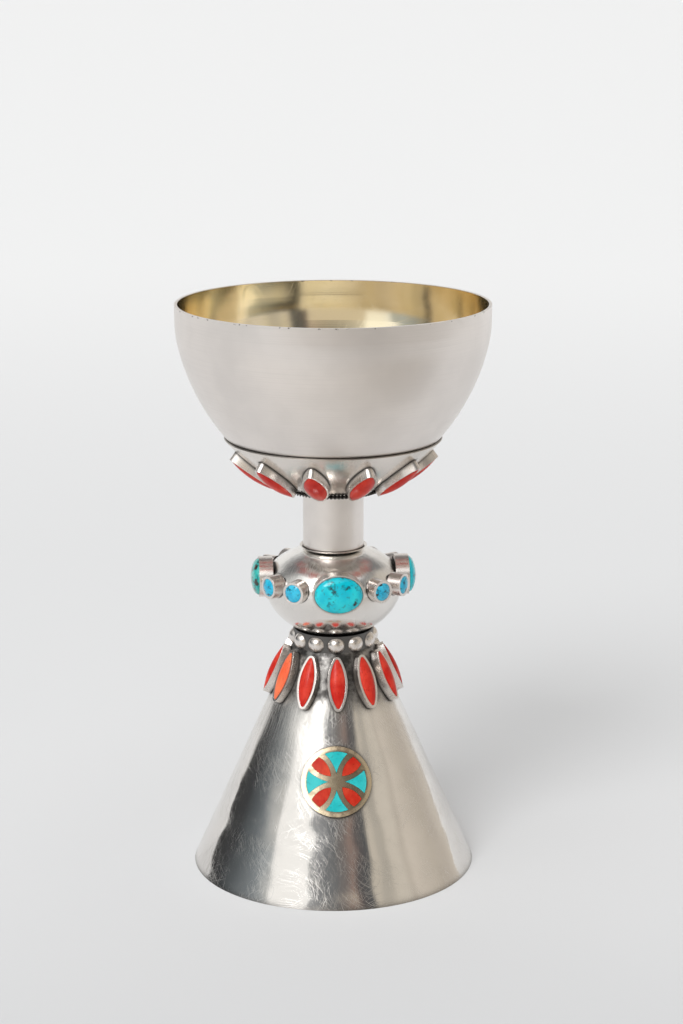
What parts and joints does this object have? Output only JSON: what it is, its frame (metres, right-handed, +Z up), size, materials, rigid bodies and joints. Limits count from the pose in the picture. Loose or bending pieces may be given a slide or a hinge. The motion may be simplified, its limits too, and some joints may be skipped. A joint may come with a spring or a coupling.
{
  "type": "ciborium vessel",
  "caption": "Standing silver church cup: round bowl in a coral-set calyx, plain stem, turquoise-set knop, beaded neck, and a hollow conical foot with an inlaid cross medallion.",
  "frame": {"origin": "on the table under the middle of the foot", "axes": "+Z up along the cup's axis; the front, where the medallion is, faces -Y; +X is to the right of someone who faces the front"},
  "size_m": [0.1076, 0.1076, 0.2],
  "materials": {
    "satin_silver": "satin silver, finely brushed",
    "bright_silver": "polished silver with fine wear scratches",
    "bowl_silver": "satin silver outside, pale gilding inside",
    "dark_silver": "oxidised silver",
    "bezel_silver": "satin silver with oxidised recesses",
    "fastening": "plain turned silver, unpolished",
    "turquoise_dark_matrix": "polished blue-green turquoise with dark brown veins and spots",
    "turquoise_sky": "polished sky-blue turquoise with brown spots",
    "coral_red": "polished red-orange coral",
    "medallion_gold": "gilt, softly polished, with dark recesses",
    "inlay_turquoise": "polished turquoise inlay",
    "inlay_coral": "polished coral inlay"
  },
  "bodies": {
    "root": {"foot_cone": "satin_silver", "neck_band": "satin_silver", "neck_plate": "dark_silver", "neck_beads": "bright_silver", "knop_lower": "bright_silver", "knop_upper": "bright_silver", "stem_collar": "bright_silver", "stem": "satin_silver", "calyx": "satin_silver", "calyx_wire": "dark_silver", "bowl": "bowl_silver", "bowl_stud": "fastening", "clamp_washer": "fastening", "clamp_nut": "fastening", "large_bezel_1": "bezel_silver", "large_turquoise_1": "turquoise_dark_matrix", "large_bezel_2": "bezel_silver", "large_turquoise_2": "turquoise_dark_matrix", "large_bezel_3": "bezel_silver", "large_turquoise_3": "turquoise_dark_matrix", "large_bezel_4": "bezel_silver", "large_turquoise_4": "turquoise_dark_matrix", "small_bezel_1": "bezel_silver", "small_turquoise_1": "turquoise_sky", "small_bezel_2": "bezel_silver", "small_turquoise_2": "turquoise_sky", "small_bezel_3": "bezel_silver", "small_turquoise_3": "turquoise_sky", "small_bezel_4": "bezel_silver", "small_turquoise_4": "turquoise_sky", "small_bezel_5": "bezel_silver", "small_turquoise_5": "turquoise_sky", "small_bezel_6": "bezel_silver", "small_turquoise_6": "turquoise_sky", "small_bezel_7": "bezel_silver", "small_turquoise_7": "turquoise_sky", "small_bezel_8": "bezel_silver", "small_turquoise_8": "turquoise_sky", "foot_bezels": "bezel_silver", "foot_coral_01": "coral_red", "foot_coral_02": "coral_red", "foot_coral_03": "coral_red", "foot_coral_04": "coral_red", "foot_coral_05": "coral_red", "foot_coral_06": "coral_red", "foot_coral_07": "coral_red", "foot_coral_08": "coral_red", "foot_coral_09": "coral_red", "foot_coral_10": "coral_red", "foot_coral_11": "coral_red", "foot_coral_12": "coral_red", "calyx_bezels": "bezel_silver", "calyx_corals": "coral_red", "medallion_plate": "medallion_gold", "medallion_turquoise": "inlay_turquoise", "medallion_coral": "inlay_coral"}
  },
  "joints": []
}
